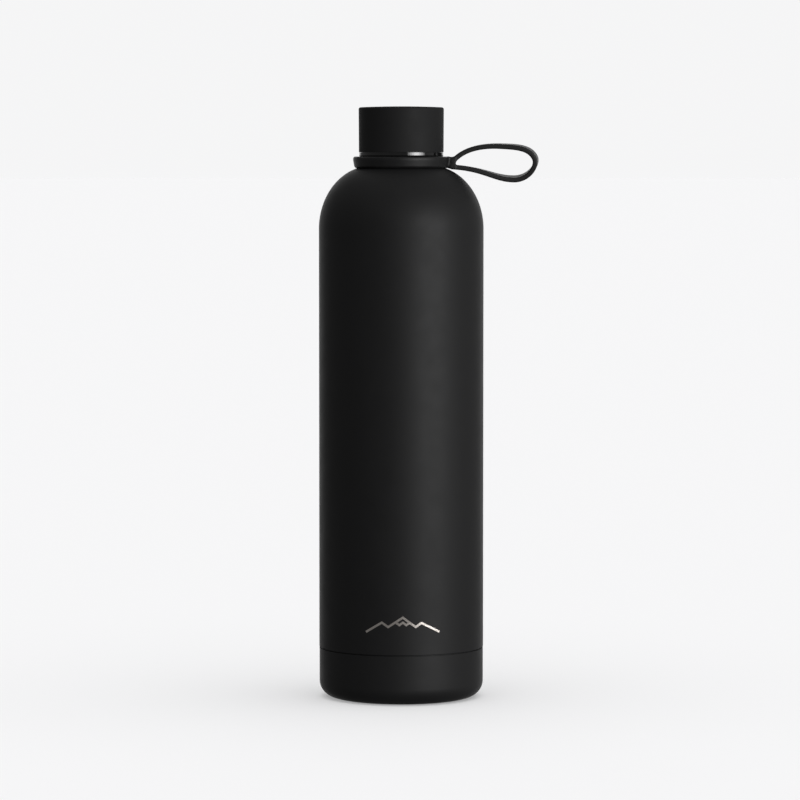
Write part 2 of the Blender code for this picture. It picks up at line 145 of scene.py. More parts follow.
# Lid
LID_CROWN = 0.5
CROWN_SHARES = (0.25, 0.5, 0.75, 0.9)
LID_EDGE = 1.0
LID_RIM_RADIUS = 21.44
LID_RIM_EDGE = 0.2
COVER_WALL = 0.6
COVER_INNER_EDGE = 0.15
CORE_RADIUS = 20.5
CORE_BORE = 19.2
CORE_ROOF = 292.6
CORE_ROOF_THICKNESS = 1.5
CORE_POCKET = 19.1
CORE_EDGE = 0.3
# The cover's rim hangs a little lower over the gloss band than in its CAD node.
RIM_SINK = 0.55
RIM_GAP = 0.1
BAND_TOP = LID_RIM - RIM_SINK - RIM_GAP
BAND_EDGE = 0.12
BAND_FOOT_EDGE = 0.6
# The band reaches down almost to the neck ring, and out to the width of the cover's rim.
BAND_SKIRT = 0.38 + RING_SINK
BAND_SWELL = 0.5
RIB_INNER = 14.9
RIB_OUTER = 15.6
RIB_BOTTOM = 290.9
RIB_EDGE = 0.25
GASKET_INNER = 15.9
GASKET_EDGE = 0.3
BEAD_SHARES = (0.7, 0.25)
BEAD_RISE = 0.25
BEAD_HALF = 0.35
BEAD_FOOT_EDGE = 0.1
BEAD_TIP_EDGE = 0.15

# Strap: ring, lug and loop, moulded in one
RING_BORE = 19.6
RING_BORE_EDGE = 0.4
RING_TOP_EDGE = 1.1
RING_SIDE = 1.8
RING_SIDE_EDGE = 1.0
# Lower corners of the ring's section: distance in from its outside or out from its bore, height
# above its lowest point, and rounding
RING_FOOT = ((0.6, 0.9, 0.8), (1.4, 0.0, 0.4))
RING_UNDERCUT = ((1.2, 0.85, 0.8), (0.0, 2.2, 0.8))
LUG_START = 23.7
LUG_END = 27.6
LUG_TOP = RING_TOP - 0.15
LUG_BOTTOM = RING_BOTTOM - 0.1
# How far the loop's band runs on into the lug at its upper and its lower root
BAND_ENDS = (2.4, 3.6)
LUG_HALF_WIDTH = 5.0
LUG_EDGE = 0.5
LUG_BLEND = 1.1
BAND_BLEND = 0.8
LOOP_BAND = 2.46
LOOP_WIDTH = 10.0
LOOP_EDGE = 0.6
LOOP_SAMPLES = 60
# Roll of the loop's highest and lowest runs, in degrees
LOOP_TWIST_UPPER = 5.0
LOOP_TWIST_LOWER = 9.5
LOOP_SHEAR = 0.1
LOOP_PIVOT_HEIGHT = 272.0
BLANK_SEGMENTS = 96
STRAP_VOXEL = 0.28
STRAP_FIT_STEPS = 5
# Middle line of the band: x, z, direction in degrees, handle before, handle after
LOOP_KNOTS = (
    (27.9, 274.0, 42.0, 0.0, 6.8),
    (49.8, 279.95, -2.0, 8.9, 8.8),
    (67.6, 274.3, -62.0, 5.8, 4.4),
    (57.0, 263.3, -181.0, 7.7, 9.2),
    (29.4, 269.1, -186.0, 13.9, 0.0),
)

# Etched mark: a ridge of hills, as distances round the body (from the front) and heights
MARK_MIDDLE = 0.8
MARK_BOTTOM = 36.8
MARK_STROKE = 1.1
MARK_HEIGHT = 0.03
MARK_SINK = 0.05
MARK_STEP = 0.6
RIDGE_LINE = (
    (-19.0, 0.4),
    (-10.6, 5.4),
    (-7.4, 3.2),
    (0.0, 8.0),
    (6.4, 3.2),
    (9.4, 5.2),
    (19.0, 0.4),
)
SNOW_LINE = ((-3.5, 5.4), (-1.7, 4.2), (0.0, 5.5), (1.7, 4.2), (3.5, 5.4))


def rounded(corners, closed=False):
    """Outline through corners of (radius, height), with an arc where a third number rounds one."""
    outline = []
    for i, corner in enumerate(corners):
        here = np.array(corner[:2], float)
        at_end = i in (0, len(corners) - 1) and not closed
        if len(corner) == 2 or at_end:
            outline.append(here)
            continue
        before = np.array(corners[i - 1][:2]) - here
        after = np.array(corners[(i + 1) % len(corners)][:2]) - here
        before /= np.linalg.norm(before)
        after /= np.linalg.norm(after)
        half = math.acos(float(np.clip(before @ after, -1, 1))) / 2
        turn = math.pi - 2 * half
        inward = (before + after) / np.linalg.norm(before + after)
        centre = here + inward * (corner[2] / math.sin(half))
        start = here + before * (corner[2] / math.tan(half)) - centre
        end = here + after * (corner[2] / math.tan(half)) - centre
        steps = max(2, math.ceil(math.degrees(turn) / ARC_STEP))
        for share in np.linspace(0, 1, steps + 1):
            mixed = math.sin((1 - share) * turn) * start + math.sin(share * turn) * end
            outline.append(centre + mixed / math.sin(turn))
    return np.array(outline)


def parallel(path, distance):
    """The path moved sideways by the distance, to its right as it runs, with mitred corners."""
    path = [np.array(point[:2], float) for point in path]
    moved = []
    for i, here in enumerate(path):
        before = here - path[i - 1] if i > 0 else path[1] - here
        after = path[i + 1] - here if i < len(path) - 1 else before
        normals = [np.array((side[1], -side[0])) / np.linalg.norm(side) for side in (before, after)]
        mitre = (normals[0] + normals[1]) / np.linalg.norm(normals[0] + normals[1])
        moved.append(here + mitre * (distance / (mitre @ normals[0])))
    return moved


def sheet_section(path, thickness):
    """Closed section of a sheet whose outer face is the path, running down."""
    return np.array([np.array(point) for point in path] + parallel(path, thickness)[::-1])


def ellipse(centre, radii, start, end, steps):
    """Points along an elliptical arc, in degrees, with 0 outwards and 90 upwards."""
    angles = np.radians(np.linspace(start, end, steps + 1))
    return [
        (centre[0] + radii[0] * math.cos(a), centre[1] + radii[1] * math.sin(a)) for a in angles
    ]


def ladder(top, bottom, row):
    """Evenly spaced points down a straight wall."""
    count = math.ceil(abs(top[1] - bottom[1]) / row)
    return [tuple(point) for point in np.linspace(top, bottom, count + 1)]


def spread(outline, closed):
    """The outline with its long stretches divided, so that its faces stay near square."""
    rows = []
    following = np.roll(outline, -1, axis=0)
    count = len(outline) if closed else len(outline) - 1
    for here, there in zip(outline[:count], following[:count]):
        pieces = max(1, math.ceil(np.linalg.norm(there - here) / LONGEST_ROW))
        rows += [here + (there - here) * k / pieces for k in range(pieces)]
    if not closed:
        rows.append(outline[-1])
    return np.array(rows)


def finished_mesh(name, vertices, faces, slots=None, materials=()):
    """A mesh in metres from points in millimetres, facing out and shaded smooth."""
    builder = bmesh.new()
    mesh = bpy.data.meshes.new(name)
    mesh.from_pydata(np.asarray(vertices, float) * MM, [], faces)
    if slots is not None:
        mesh.polygons.foreach_set("material_index", np.asarray(slots, np.int32))
    builder.from_mesh(mesh)
    bmesh.ops.recalc_face_normals(builder, faces=builder.faces)
    builder.to_mesh(mesh)
    builder.free()
    for material in materials:
        mesh.materials.append(material)
    mesh.shade_smooth()
    mesh.set_sharp_from_angle(angle=SHARP_ANGLE)
    obj = bpy.data.objects.new(name, mesh)
    bpy.context.scene.collection.objects.link(obj)
    return obj


def turned(name, outline, materials, closed=True, relief=None, slot_of=None):
    """A solid of revolution. relief(radius, height, angle) is added to the radius of each point."""
    rows = spread(np.asarray(outline, float), closed)
    angles = np.arange(SEGMENTS) * (2 * math.pi / SEGMENTS)
    vertices = []
    rings = []
    for radius, height in rows:
        if radius < 1e-6:
            rings.append([len(vertices)] * SEGMENTS)
            vertices.append((0.0, 0.0, height))
            continue
        rings.append(list(range(len(vertices), len(vertices) + SEGMENTS)))
        proud = relief(radius, height, angles) if relief else 0.0
        reached = radius + proud
        ring = np.stack((reached * np.cos(angles), reached * np.sin(angles)), axis=1)
        vertices += [(x, y, height) for x, y in ring]
    faces = []
    slots = []
    for i in range(len(rows) if closed else len(rows) - 1):
        lower, upper = rings[i], rings[(i + 1) % len(rows)]
        middle = (rows[i] + rows[(i + 1) % len(rows)]) / 2
        slot = slot_of(*middle) if slot_of else 0
        for a in range(SEGMENTS):
            b = (a + 1) % SEGMENTS
            # At the axis a face's two corners are one point, which counts once.
            face = dict.fromkeys((lower[a], lower[b], upper[b], upper[a]))
            faces.append(tuple(face))
            slots.append(slot)
    obj = finished_mesh(name, vertices, faces, slots, materials)
    weighted = obj.modifiers.new("Weighted normals", "WEIGHTED_NORMAL")
    weighted.keep_sharp = True
    return obj


def loft(sections):
    """Vertices and faces of a closed bar through sections of the same number of points."""
    count = len(sections[0])
    vertices = [point for section in sections for point in section]
    faces = [tuple(range(count))]
    for i in range(len(sections) - 1):
        for a in range(count):
            b = (a + 1) % count
            low, high = i * count, (i + 1) * count
            faces.append((low + a, low + b, high + b, high + a))
    faces.append(tuple(range(len(vertices) - count, len(vertices))))
    return vertices, faces


def smooth(share):
    """The share, held between 0 and 1 and eased at both ends."""
    share = np.clip(share, 0, 1)
    return share * share * (3 - 2 * share)


def thread(wall_radius, towards_crest, bottom):
    """Relief of the thread on a wall; towards_crest is 1 for ridges outwards and -1 inwards."""

    def relief(radius, height, angles):
        proud = np.zeros(len(angles))
        if abs(radius - wall_radius) > WALL_TOLERANCE:
            return proud
        for start in range(THREAD_STARTS):
            share = (angles / (2 * math.pi) - start / THREAD_STARTS) % 1.0
            aside = np.abs(height - bottom - THREAD_LEAD * share)
            flank = smooth((THREAD_HALF_ROOT - aside) / (THREAD_HALF_ROOT - THREAD_HALF_CREST))
            fade = smooth(np.minimum(share, 1 - share) / THREAD_FADE)
            proud = np.maximum(proud, flank * fade)
        return towards_crest * THREAD_DEPTH * proud

    return relief


# Materials ----------------------------------------------------------------------------------------


class Recipe:
    """A material on a Principled shader, with short calls for the nodes of its finish."""

    def __init__(self, name, color, roughness, metallic=0.0, **uniform):
        self.material = bpy.data.materials.new(name)
        self.material.use_nodes = True
        self.tree = self.material.node_tree
        self.shader = self.tree.nodes["Principled BSDF"]
        self.set(self.shader, "Base Color", (*color, 1.0))
        self.set(self.shader, "Roughness", roughness)
        self.set(self.shader, "Metallic", metallic)
        for key, value in uniform.items():
            self.set(self.shader, key.replace("_", " "), value)
        self.place = self.node("ShaderNodeTexCoord").outputs["Object"]

    def set(self, node, socket, value):
        """Links the value to the socket if it is a node's output, and writes it there if not."""
        if isinstance(value, bpy.types.NodeSocket):
            self.tree.links.new(value, node.inputs[socket])
        else:
            node.inputs[socket].default_value = value

    def node(self, kind, inputs=(), **settings):
        made = self.tree.nodes.new(kind)
        for key, value in settings.items():
            setattr(made, key, value)
        for socket, value in dict(inputs).items():
            self.set(made, socket, value)
        return made

    def grain(self, size, detail=2.0, roughness=0.5, place=None, distortion=0.0):
        """Noise whose spots are about the size, in millimetres."""
        inputs = {
            "Vector": place or self.place,
            "Scale": 1 / (size * MM),
            "Detail": detail,
            "Roughness": roughness,
            "Distortion": distortion,
        }
        return self.node("ShaderNodeTexNoise", inputs).outputs["Fac"]

    def cells(self, size, feature="F1"):
        """Distances in a pattern of cells of about the size, in millimetres."""
        inputs = {"Vector": self.place, "Scale": 1 / (size * MM)}
        return self.node("ShaderNodeTexVoronoi", inputs, feature=feature).outputs["Distance"]

    def between(self, value, low, high, start=0.3, end=0.7):
        """The value's middle range stretched to run from low to high."""
        inputs = {"Value": value, "From Min": start, "From Max": end, "To Min": low, "To Max": high}
        return self.node("ShaderNodeMapRange", inputs).outputs["Result"]

    def shades(self, value, dark, light):
        """A colour between the two, by the value."""
        made = self.node("ShaderNodeMix", data_type="RGBA")
        self.tree.links.new(value, made.inputs[0])
        made.inputs[6].default_value = (*dark, 1.0)
        made.inputs[7].default_value = (*light, 1.0)
        return made.outputs[2]

    def sum(self, first, second, weight=1.0):
        """The first value plus the second one times the weight."""
        scaled = self.node("ShaderNodeMath", {1: weight}, operation="MULTIPLY")
        self.tree.links.new(second, scaled.inputs[0])
        added = self.node("ShaderNodeMath", operation="ADD")
        self.tree.links.new(first, added.inputs[0])
        self.tree.links.new(scaled.outputs[0], added.inputs[1])
        return added.outputs[0]

    def round_axis(self, stretch):
        """Coordinates for marks that run round the bottle's axis: fine along it, long round it."""
        parts = self.node("ShaderNodeSeparateXYZ", {"Vector": self.place})
        squash = self.node("ShaderNodeCombineXYZ", {"Z": parts.outputs["Z"]})
        for axis in ("X", "Y"):
            shrunk = self.node("ShaderNodeMath", {1: stretch}, operation="MULTIPLY")
            self.tree.links.new(parts.outputs[axis], shrunk.inputs[0])
            self.tree.links.new(shrunk.outputs[0], squash.inputs[axis])
        return squash.outputs["Vector"]

    def finish(self, color=None, roughness=None, height=None, depth=0.01, strength=1.0):
        """Plugs in the finish, with the height as a bump of the depth in millimetres."""
        if color is not None:
            self.set(self.shader, "Base Color", color)
        if roughness is not None:
            self.set(self.shader, "Roughness", roughness)
        if height is not None:
            inputs = {"Height": height, "Distance": depth * MM, "Strength": strength}
            self.set(self.shader, "Normal", self.node("ShaderNodeBump", inputs).outputs["Normal"])
        return self.material


def powder_coat(name, low, high):
    """Matte black baked coat: a fine even grain with faint cloudiness."""
    coat = Recipe(name, (0.0057, 0.0057, 0.006), high, Specular_IOR_Level=0.24)
    cloud = coat.grain(9.0, detail=3.0)
    speck = coat.grain(0.35, detail=2.0, roughness=0.6)
    mottle = coat.sum(cloud, speck, 0.35)
    color = coat.shades(mottle, (0.0046, 0.0046, 0.0048), (0.0068, 0.0068, 0.0071))
    roughness = coat.between(coat.sum(cloud, speck, 0.5), low, high, 0.4, 1.1)
    height = coat.sum(coat.grain(0.55, detail=1.0), speck, 0.5)
    return coat.finish(color, roughness, height, depth=0.012, strength=0.5)


def steel(name, color, roughness, line, depth):
    """Stainless steel with fine turned lines round the axis."""
    metal = Recipe(name, color, roughness, 1.0)
    lines = metal.grain(line, detail=3.0, place=metal.round_axis(0.02))
    smudge = metal.grain(7.0, detail=2.0)
    shades = metal.shades(smudge, tuple(c * 0.93 for c in color), color)
    both = metal.sum(lines, smudge, 0.6)
    rough = metal.between(both, roughness * 0.8, roughness * 1.25, 0.5, 1.1)
    return metal.finish(shades, rough, lines, depth)


def pressed_steel():
    """Plain pressed sheet: dull, with drawing marks."""
    metal = Recipe("pressed_steel", (0.42, 0.42, 0.42), 0.45, 1.0)
    marks = metal.grain(1.2, detail=4.0, roughness=0.65)
    color = metal.shades(marks, (0.34, 0.34, 0.34), (0.47, 0.47, 0.46))
    return metal.finish(color, metal.between(marks, 0.36, 0.55), marks, 0.02)


def etched_steel():
    """Bare steel where the laser has taken the coat away: dull, warm and slightly uneven."""
    metal = Recipe("etched_steel", (0.46, 0.425, 0.395), 0.3, 1.0)
    scan = metal.grain(0.12, detail=1.0, place=metal.round_axis(0.1))
    cloud = metal.grain(4.0, detail=2.0)
    color = metal.shades(metal.sum(scan, cloud, 0.6), (0.36, 0.33, 0.305), (0.56, 0.52, 0.485))
    return metal.finish(color, metal.between(scan, 0.24, 0.36), scan, 0.01)


def gloss_black():
    """Moulded gloss plastic with faint wipe marks."""
    plastic = Recipe("gloss_black_plastic", (0.003, 0.003, 0.0031), 0.07, Specular_IOR_Level=0.5)
    wipes = plastic.grain(2.5, detail=4.0, roughness=0.6, distortion=0.4)
    color = plastic.shades(wipes, (0.0024, 0.0024, 0.0025), (0.0036, 0.0036, 0.0037))
    return plastic.finish(color, plastic.between(wipes, 0.085, 0.115), wipes, 0.004)


def silicone(name, dark, light, low, high, grain, specular=0.5):
    """Moulded silicone rubber: matte, with a fine spark-eroded texture and a little dust."""
    rubber = Recipe(name, light, high, Specular_IOR_Level=specular)
    fine = rubber.grain(grain, detail=2.0, roughness=0.55)
    dust = rubber.grain(3.5, detail=4.0, roughness=0.6)
    both = rubber.sum(dust, fine, 0.5)
    color = rubber.shades(rubber.between(both, 0.0, 1.0, 0.5, 1.0), dark, light)
    return rubber.finish(color, rubber.between(both, low, high, 0.5, 1.0), fine, 0.02, 0.6)


def foam():
    """White closed-cell foam, with painted shade in the hollows of its cells."""
    body = Recipe("lid_foam", (0.8, 0.8, 0.78), 0.9)
    cells = body.cells(0.6)
    # The colour darkens towards the middle of each cell, where the bump sinks: painted shade in the
    # cell's hollow.
    cell_shade = body.between(cells, 0.0, 1.0, 0.0, 0.8)
    color = body.shades(cell_shade, (0.66, 0.66, 0.63), (0.84, 0.84, 0.82))
    return body.finish(color, body.between(cells, 0.8, 0.95), cells, 0.15)


def foil():
    """Bright aluminium foil with soft creases."""
    sheet = Recipe("reflector_foil", (0.78, 0.78, 0.79), 0.22, 1.0)
    creases = sheet.cells(9.0, "DISTANCE_TO_EDGE")
    crumple = sheet.grain(4.0, detail=4.0, roughness=0.6)
    color = sheet.shades(crumple, (0.72, 0.72, 0.73), (0.82, 0.82, 0.83))
    height = sheet.sum(crumple, creases, 0.6)
    return sheet.finish(color, sheet.between(crumple, 0.16, 0.32), height, 0.3)


def solder_glass():
    """Dark fused glass bead with small bubbles."""
    bead = Recipe("solder_glass", (0.09, 0.10, 0.09), 0.16)
    bubbles = bead.cells(0.45)
    depths = bead.between(bubbles, 0.0, 1.0, 0.05, 0.6)
    color = bead.shades(depths, (0.13, 0.14, 0.13), (0.07, 0.08, 0.075))
    return bead.finish(color, bead.between(bubbles, 0.24, 0.12, 0.05, 0.6), bubbles, 0.05)


def getter_alloy():
    """Sintered grey pellet: rough and porous, with painted shade in its pores."""
    pellet = Recipe("getter_alloy", (0.2, 0.2, 0.21), 0.7, 0.8)
    pores = pellet.cells(0.25)
    pore_shade = pellet.between(pores, 0.0, 1.0, 0.1, 0.7)
    # The colour darkens into each pore, where the bump sinks: painted shade.
    color = pellet.shades(pore_shade, (0.08, 0.08, 0.085), (0.27, 0.27, 0.28))
    return pellet.finish(color, pellet.between(pores, 0.85, 0.6), pores, 0.12)


def adhesive():
    """Cured glue ring, slightly lumpy."""
    glue = Recipe("adhesive", (0.5, 0.48, 0.4), 0.5)
    lumps = glue.grain(2.2, detail=3.0)
    color = glue.shades(lumps, (0.42, 0.40, 0.32), (0.56, 0.54, 0.46))
    return glue.finish(color, glue.between(lumps, 0.4, 0.62), lumps, 0.2)


# Turned pieces ------------------------------------------------------------------------------------


def shoulder(inset):
    """Quarter ellipse of the shoulder, from the top of the dome down to the straight wall."""
    centre = (BODY_RADIUS - SHOULDER_DEPTH, SHOULDER_START)
    return ellipse(centre, (SHOULDER_DEPTH - inset, SHOULDER_HEIGHT - inset), 80, 0, SHOULDER_STEPS)


def bend(path, corner, towards):
    """Takes the path on round a rounded corner, in the direction of the last point."""
    path += [tuple(point) for point in rounded([path[-1], corner, towards])[1:-1]]


def make_outer_shell(coat, bare):
    """Outer wall as one sheet: threaded neck, collar, shoulder, body and step into the cup."""
    dome = shoulder(0.0)
    dome_top = dome[0][1]
    fillet_height = dome_top + COLLAR_FILLET + COLLAR_FILLET_RISE
    fillet_centre = (COLLAR_RADIUS + COLLAR_FILLET, fillet_height)
    path = ladder((NECK_RADIUS, NECK_TOP), (NECK_RADIUS, NECK_START + NECK_CORNER), THREAD_ROW)
    bend(path, (NECK_RADIUS, NECK_START, NECK_CORNER), (COLLAR_RADIUS, COLLAR_TOP))
    bend(path, (COLLAR_RADIUS, COLLAR_TOP, COLLAR_EDGE), (COLLAR_RADIUS, dome_top))
    path += ellipse(fillet_centre, (COLLAR_FILLET, COLLAR_FILLET), 180, 255, 6)
    path += [point for point in dome if point[0] > fillet_centre[0] + DOME_MARGIN]
    bend(path, (BODY_RADIUS, SEAM_TOP, SEAM_EDGE), (SHELL_STEP_RADIUS, SEAM_TOP))
    path += [(SHELL_STEP_RADIUS, SEAM_TOP), (SHELL_STEP_RADIUS, SHELL_END)]

    def slot_of(radius, height):
        """Coated outside up to the cone of the neck, bare steel above it and inside."""
        inside_neck = height > SHOULDER_START and radius < NECK_RADIUS - 0.1
        if height > COAT_END or inside_neck:
            return 1
        surface = np.interp(height, *np.array(sorted((z, r) for r, z in path)).T)
        return 0 if radius > surface - STEEL / 2 else 1

    shell = turned(
        "bottle_shell",
        sheet_section(path, STEEL),
        (coat, bare),
        relief=thread(NECK_RADIUS, 1, THREAD_BOTTOM),
        slot_of=slot_of,
    )
    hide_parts("outer_shell")
    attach(shell, "bottle")


def make_base_cup(coat):
    """Cup over the bottom end, with the ring groove under its foot."""
    outer = CUP_RADIUS + CUP_SWELL
    inner = outer - CUP_WALL
    groove = FOOT_GROOVE_RADIUS
    corners = [
        (0.0, CUP_BOTTOM + CUP_WALL),
        (inner, CUP_BOTTOM + CUP_WALL, CUP_CORNER - CUP_WALL),
        (inner, CUP_TOP),
        (outer, CUP_TOP, CUP_EDGE),
        (outer, CUP_BOTTOM, CUP_CORNER),
        (groove + FOOT_GROOVE_HALF, CUP_BOTTOM, FOOT_GROOVE_EDGE),
        (groove, CUP_BOTTOM + FOOT_GROOVE_DEPTH, FOOT_GROOVE_EDGE),
        (groove - FOOT_GROOVE_HALF, CUP_BOTTOM, FOOT_GROOVE_EDGE),
        (0.0, CUP_BOTTOM),
    ]
    cup = turned("bottom_cup", rounded(corners), (coat,), closed=False)
    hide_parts("base_cup")
    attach(cup, "bottle")


def make_inner_flask(metal):
    """Inner bottle as one sheet, from the rolled drinking lip down to its open foot."""
    lip_middle = (FLASK_NECK_RADIUS - STEEL + LIP_RADIUS) / 2
    lip_half = (LIP_RADIUS - lip_middle, (LIP_TOP - LIP_BOTTOM) / 2)
    dome = shoulder(BODY_RADIUS - FLASK_RADIUS)
    neck_foot = dome[0][1] + FLASK_NECK_RISE
    neck_end = FLASK_NECK_RADIUS + FLASK_NECK_FILLET
    fillet = (FLASK_NECK_FILLET, FLASK_NECK_FILLET)
    lip = ellipse((lip_middle, LIP_BOTTOM + lip_half[1]), lip_half, 180, -60, 24)
    outside = [(FLASK_NECK_RADIUS, LIP_BOTTOM)]
    outside += ellipse((neck_end, neck_foot), fillet, 180, 250, 6)
    outside += [point for point in dome if point[0] > neck_end]
    outside += [(FLASK_RADIUS, FLASK_END)]
    inside = parallel(outside, STEEL)[1:]
    section = lip + outside + [tuple(point) for point in inside[::-1]]
    flask = turned("flask", section, (metal,))
    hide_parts("inner_flask")
    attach(flask, "bottle")


def make_flask_floor(metal):
    """Dished floor of the inner flask, domed upwards, with a short upright rim."""
    low = FLOOR_BOTTOM
    break_radius = FLOOR_RADIUS * FLOOR_BREAK[0]
    break_height = low + FLOOR_RISE * FLOOR_BREAK[1]
    corners = [
        (0.0, low + FLOOR_RISE + STEEL),
        (break_radius, break_height + STEEL, FLOOR_BREAK[2]),
        (FLOOR_RADIUS - STEEL, low + STEEL, FLOOR_CORNER - STEEL),
        (FLOOR_RADIUS - STEEL, FLOOR_RIM_TOP),
        (FLOOR_RADIUS, FLOOR_RIM_TOP),
        (FLOOR_RADIUS, low, FLOOR_CORNER),
        (break_radius, break_height, FLOOR_BREAK[2]),
        (0.0, low + FLOOR_RISE),
    ]
    floor = turned("flask_floor", rounded(corners), (metal,), closed=False)
    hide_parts("inner_flask_base")
    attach(floor, "bottle")


def make_lid_cap(coat):
    """Outer cap of the lid, slightly crowned, and open below."""
    shoulder_height = LID_TOP - LID_CROWN
    rim = LID_RIM - RIM_SINK
    crown = [(0.0, LID_TOP)]
    crown += [(LID_RADIUS * s, LID_TOP - LID_CROWN * s * s) for s in CROWN_SHARES]
    outer = crown + [
        (LID_RADIUS, shoulder_height, LID_EDGE),
        (LID_RIM_RADIUS, rim, LID_RIM_EDGE),
    ]
    inner = [
        (LID_RIM_RADIUS - COVER_WALL, rim, COVER_INNER_EDGE),
        (LID_RADIUS - COVER_WALL, shoulder_height - COVER_WALL, LID_EDGE - COVER_WALL),
    ]
    inner += [(r, z - COVER_WALL) for r, z in crown[::-1]]
    cap = turned("lid_cap", rounded(outer + inner), (coat,), closed=False)
    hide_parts("lid_cover")
    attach(cap, "lid")


def make_lid_core(plastic):
    """Threaded body of the lid, with the gloss band at its foot and the rib that holds the seal."""
    roof_top = CORE_ROOF + CORE_ROOF_THICKNESS
    foot = BAND_BOTTOM - BAND_SKIRT
    band = BAND_RADIUS + BAND_SWELL
    upper = [
        (0.0, roof_top),
        (CORE_POCKET, roof_top),
        (CORE_POCKET, CORE_TOP),
        (CORE_RADIUS, CORE_TOP, CORE_EDGE),
        (CORE_RADIUS, BAND_TOP),
        (band, BAND_TOP, BAND_EDGE),
        (band, foot, BAND_FOOT_EDGE),
        (CORE_BORE, foot, CORE_EDGE),
    ]
    # The bore's rows are close enough to carry the thread, and stop short of its two corners.
    bore = ladder((CORE_BORE, foot + 0.5), (CORE_BORE, CORE_ROOF - 0.2), THREAD_ROW)
    lower = [
        (CORE_BORE, CORE_ROOF),
        (RIB_OUTER, CORE_ROOF),
        (RIB_OUTER, RIB_BOTTOM, RIB_EDGE),
        (RIB_INNER, RIB_BOTTOM, RIB_EDGE),
        (RIB_INNER, CORE_ROOF, CORE_EDGE),
        (0.0, CORE_ROOF),
    ]
    core = turned(
        "lid_inner",
        rounded(upper + bore + lower),
        (plastic,),
        closed=False,
        # Half a pitch above the neck's ridges, so that the two threads mesh.
        relief=thread(CORE_BORE, -1, THREAD_BOTTOM + THREAD_LEAD / THREAD_STARTS / 2),
    )
    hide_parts("lid_core")
    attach(core, "lid")


def make_gasket(rubber):
    """Seal ring with two raised beads on its lower face, where it meets the drinking lip."""
    floor = GASKET_BOTTOM + BEAD_RISE
    corners = [
        (GASKET_INNER, GASKET_TOP, GASKET_EDGE),
        (GASKET_RADIUS, GASKET_TOP, GASKET_EDGE),
        (GASKET_RADIUS, floor, GASKET_EDGE),
    ]
    for share in BEAD_SHARES:
        middle = GASKET_INNER + (GASKET_RADIUS - GASKET_INNER) * share
        corners += [
            (middle + BEAD_HALF, floor, BEAD_FOOT_EDGE),
            (middle, GASKET_BOTTOM, BEAD_TIP_EDGE),
            (middle - BEAD_HALF, floor, BEAD_FOOT_EDGE),
        ]
    corners += [(GASKET_INNER, floor, GASKET_EDGE)]
    gasket = turned("seal_ring", rounded(corners, closed=True), (rubber,))
    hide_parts("lid_gasket")
    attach(gasket, "lid_seal")


# Strap --------------------------------------------------------------------------------------------


def ring_section():
    """Closed section of the neck ring: upright outside, well rounded above, undercut below."""
    corners = [
        (RING_BORE, RING_TOP, RING_BORE_EDGE),
        (RING_RADIUS, RING_TOP, RING_TOP_EDGE),
        (RING_RADIUS, RING_TOP - RING_SIDE, RING_SIDE_EDGE),
    ]
    corners += [(RING_RADIUS - x, RING_BOTTOM + z, edge) for x, z, edge in RING_FOOT]
    corners += [(RING_BORE + x, RING_BOTTOM + z, edge) for x, z, edge in RING_UNDERCUT]
    return rounded(corners, closed=True)


def loop_line():
    """Points (x, z) along the middle of the band, from its upper root round to its lower root."""
    points = []
    for first, second in zip(LOOP_KNOTS, LOOP_KNOTS[1:]):
        start, end = Vector(first[:2]), Vector(second[:2])
        leaving, arriving = math.radians(first[2]), math.radians(second[2])
        ahead = start + Vector((math.cos(leaving), math.sin(leaving))) * first[4]
        behind = end - Vector((math.cos(arriving), math.sin(arriving))) * second[3]
        stretch = interpolate_bezier(start, ahead, behind, end, LOOP_SAMPLES + 1)
        points += [tuple(point) for point in stretch[:-1]]
    points.append(LOOP_KNOTS[-1][:2])
    ends = []
    for knot, length in zip((LOOP_KNOTS[0], LOOP_KNOTS[-1]), (-BAND_ENDS[0], BAND_ENDS[1])):
        angle = math.radians(knot[2])
        ends.append((knot[0] + length * math.cos(angle), knot[1] + length * math.sin(angle)))
    return np.array([ends[0], *points, ends[1]])


def polygon_distance(points, polygon):
    """Signed distance of 2D points from a closed outline, negative inside it."""
    nearest = np.full(len(points), np.inf)
    inside = np.zeros(len(points), bool)
    for start, end in zip(polygon, np.roll(polygon, -1, axis=0)):
        side = end - start
        away = points - start
        share = np.clip(away @ side / (side @ side), 0, 1)
        nearest = np.minimum(nearest, np.linalg.norm(away - share[:, None] * side, axis=1))
        if start[1] != end[1]:
            spans = (start[1] > points[:, 1]) != (end[1] > points[:, 1])
            inside ^= spans & (points[:, 0] < start[0] + away[:, 1] * side[0] / side[1])
    return np.where(inside, -nearest, nearest)


def line_distance(points, line, tree):
    """Distance of 2D points from an open line of short straight pieces."""
    nearest = np.array([tree.find((x, z, 0.0))[1] for x, z in points])
    found = np.full(len(points), np.inf)
    for step in (-1, 0):
        first = np.clip(nearest + step, 0, len(line) - 2)
        side = line[first + 1] - line[first]
        away = points - line[first]
        share = np.clip((away * side).sum(1) / (side * side).sum(1), 0, 1)
        found = np.minimum(found, np.linalg.norm(away - share[:, None] * side, axis=1))
    return found


def block_distance(offsets, halves, rounding):
    """Signed distance from a box with rounded edges, from offsets to its middle."""
    beyond = np.abs(offsets) - (np.array(halves) - rounding)
    outside = np.linalg.norm(np.maximum(beyond, 0), axis=1)
    return outside + np.minimum(beyond.max(1), 0) - rounding


def melted(first, second, fillet):
    """The nearer of two distances, with a soft fillet of that width where they meet."""
    overlap = np.clip(1 - np.abs(first - second) / fillet, 0, 1)
    return np.minimum(first, second) - overlap * overlap * fillet / 4


